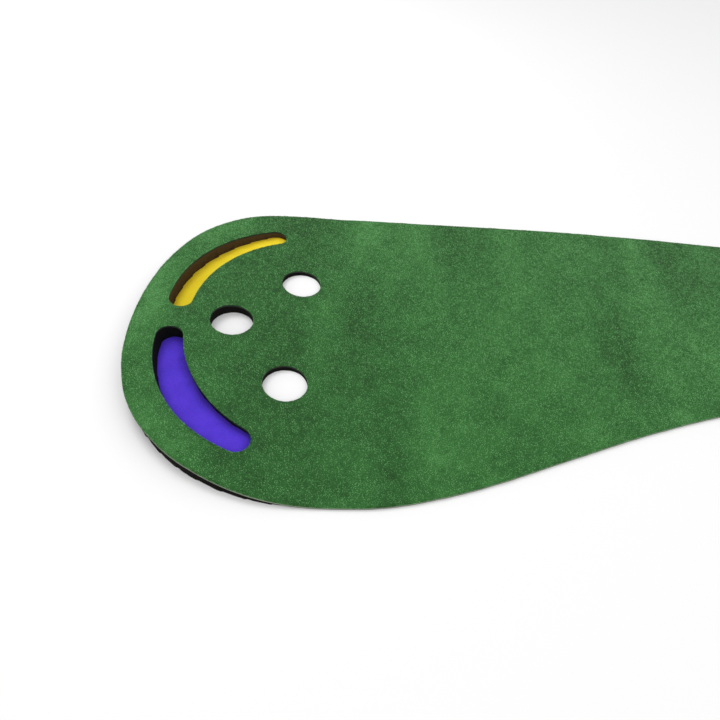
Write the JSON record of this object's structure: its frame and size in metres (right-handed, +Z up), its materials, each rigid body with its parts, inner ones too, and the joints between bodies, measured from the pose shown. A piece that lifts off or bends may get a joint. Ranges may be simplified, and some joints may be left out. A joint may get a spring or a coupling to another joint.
{
  "type": "practice putting mat",
  "caption": "Kidney-shaped practice putting mat of artificial turf over a removable foam ramp, with round cup holes and curved sand and water slots.",
  "frame": {"origin": "middle of the mat's bounding box, on the floor", "axes": "+X along the mat from the cup end to the putting end, +Y across it towards the sand slot, +Z up"},
  "size_m": [2.743, 0.914, 0.04],
  "materials": {
    "turf": "short cut pile",
    "backing": "matt non-slip backing",
    "foam": "matt closed-cell foam",
    "sand_felt": "felt",
    "water_felt": "felt",
    "tabs": "hook-and-loop"
  },
  "bodies": {
    "mat_run": {"turf_run": "turf", "backing_run": "backing"},
    "cup_end": {"turf_cup_end": "turf", "backing_cup_end": "backing", "loop_tabs": "tabs"},
    "ramp": {"foam_ramp": "foam", "sand_felt": "sand_felt", "water_felt": "water_felt", "hook_tabs": "tabs"}
  },
  "joints": [
    {"name": "ramp_slide", "type": "slide", "parent": "mat_run", "child": "ramp", "axis": [-1, 0, 0], "range_m": [0, 0.395]},
    {"name": "cup_end_bend", "type": "hinge", "parent": "mat_run", "child": "cup_end", "pos_m": [-0.9765, 0, 0], "axis": [0, -1, 0], "range_deg": [0, 5.06]}
  ],
  "couplings": [
    {"joint": "cup_end_bend", "follows": "ramp_slide", "rad_per_m": 0.2237}
  ]
}
